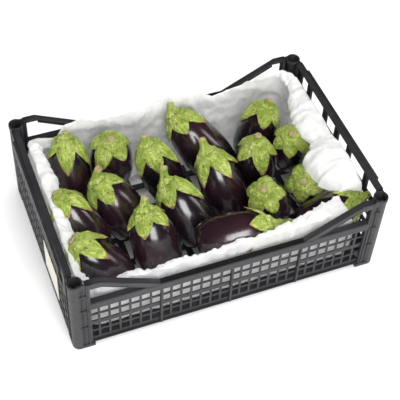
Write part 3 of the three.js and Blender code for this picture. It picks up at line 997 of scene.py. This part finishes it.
def fruit_radius(fruit, share):
    """Radius in mm at a share of the fruit's length, from a finely stepped outline."""
    table = RADII
    at = share * (len(table) - 1)
    i = min(int(at), len(table) - 2)
    return fruit.radius * (table[i] + (table[i + 1] - table[i]) * (at - i))


def radius_table(steps=60):
    samples = [spline_point(k / 400) for k in range(401)]
    table = []
    for k in range(steps + 1):
        want = k / steps
        table.append(min(samples, key=lambda p: abs(p[1] - want))[0])
    return table


RADII = radius_table()


def paper_mesh(fruits):
    made = bmesh.new()
    grid = []
    for k in range(AROUND):
        s = k / AROUND
        column = []
        inward = (rim_point(s, 20) - rim_point(s, 0)).normalized()
        for base, z, loose in paper_section(s):
            point = Vector((base.x, base.y, z))
            fold = 6.5 * crumple(point, 46) + 4.5 * crumple(point, 22, 4) + 2 * crumple(point, 9, 9)
            fold *= loose
            if loose < 1:
                point += inward * max(fold + 2, 0) if loose > 0.3 else Vector((0, 0, max(fold, 0)))
            else:
                point += (inward * 0.4 + Vector((0, 0, 0.9))) * fold
            column.append(point * MM)
        grid.append(column)
    rows = len(grid[0])
    for _ in range(3):
        for column in grid:
            for j in range(FLOOR_ROWS + WALL_ROWS // 2, rows):
                column[j] = push_off_fruits(column[j], fruits)
        relax(grid, FLOOR_ROWS + WALL_ROWS - 4, rows)
    for column in grid:
        for j in range(FLOOR_ROWS + WALL_ROWS // 2, rows):
            column[j] = push_off_fruits(column[j], fruits, 1.5)
    verts = [[made.verts.new(p) for p in column] for column in grid]
    for k in range(AROUND):
        left, right = verts[k], verts[(k + 1) % AROUND]
        for j in range(rows - 1):
            made.faces.new((left[j], left[j + 1], right[j + 1], right[j]))
    bmesh.ops.recalc_face_normals(made, faces=made.faces)
    mesh = bpy.data.meshes.new("tissue")
    made.to_mesh(mesh)
    made.free()
    smooth(mesh)
    return mesh


def relax(grid, first, last):
    """Evens out the upper rows a little, so that a pushed point takes its neighbours with it."""
    count = len(grid)
    copy = [list(column) for column in grid]
    for k in range(count):
        for j in range(first, last - 1):
            around = copy[k - 1][j] + copy[(k + 1) % count][j] + copy[k][j - 1] + copy[k][j + 1]
            grid[k][j] = copy[k][j] * 0.7 + around * 0.075


def build_paper(fruits):
    """The cut is the flat sheet less the middle of the floor, which is left out so that the crate's dark
    floor stands in for the shade deep between the fruits.
    """
    paper = place(paper_mesh(fruits), "tissue_sheet", ["tissue_liner"], paper_material())
    return paper


def build_card():
    x = -LENGTH / 2 - CARD["gap"]
    ys = (CARD["front"], CARD["front"] + CARD["width"])
    zs = (CARD["bottom"], CARD["bottom"] + CARD["height"])
    mesh = block((x - CARD["thickness"], x), ys, zs, 0.2)
    place(mesh, "blank_card", ["card_label"], card_material())


# ---- stage ----


def build_stage():
    bpy.ops.mesh.primitive_plane_add(size=12, location=(0, 0, 0))
    ground = bpy.context.object
    ground.name = "studio_floor"
    ground.data.materials.append(floor_material())
    ground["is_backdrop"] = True

    def area(name, at, size, power, glossy=True):
        data = bpy.data.lights.new(name, "AREA")
        data.shape = "RECTANGLE"
        data.size, data.size_y = size
        data.energy = power
        lamp = bpy.data.objects.new(name, data)
        bpy.context.collection.objects.link(lamp)
        lamp.location = at
        lamp.rotation_euler = (Vector((0, 0, 0.1)) - Vector(at)).to_track_quat("-Z", "Y").to_euler()
        lamp.visible_glossy = glossy
        lamp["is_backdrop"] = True

    area("key_softbox", (-0.2, -1.75, 1.45), (1.0, 1.5), 34)
    area("overhead", (0.0, 0.2, 2.4), (2.2, 2.0), 12, glossy=False)
    area("side_fill", (1.9, -0.6, 1.3), (0.5, 1.0), 5)
    world = bpy.data.worlds.new("studio")
    world.use_nodes = True
    background = world.node_tree.nodes["Background"]
    background.inputs[0].default_value = (1, 1, 1, 1)
    background.inputs[1].default_value = 1.0
    world.cycles_visibility.glossy = False
    bpy.context.scene.world = world


def build_camera():
    az, el, roll = (math.radians(v) for v in (CAMERA_AZ, CAMERA_EL, CAMERA_ROLL))
    back = Vector((math.sin(az) * math.cos(el), -math.cos(az) * math.cos(el), math.sin(el)))
    right = Vector((math.cos(az), math.sin(az), 0))
    up = back.cross(right)
    x = right * math.cos(roll) + up * math.sin(roll)
    y = up * math.cos(roll) - right * math.sin(roll)
    data = bpy.data.cameras.new("camera")
    data.lens = LENS
    data.sensor_width = 36
    camera = bpy.data.objects.new("camera", data)
    bpy.context.collection.objects.link(camera)
    axes = Matrix((x, y, back)).transposed().to_4x4()
    camera.matrix_world = Matrix.Translation(CAMERA_AT) @ axes
    bpy.context.scene.camera = camera


build_crate()
build_paper(build_fruits())
build_card()
build_stage()
build_camera()
bpy.context.scene.view_settings.view_transform = "Standard"

bpy.context.view_layer.update()


def numbers(value):
    return [numbers(v) for v in value] if hasattr(value, "__len__") else float(value)


numbers(cad_bounds)
numbers(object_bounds())
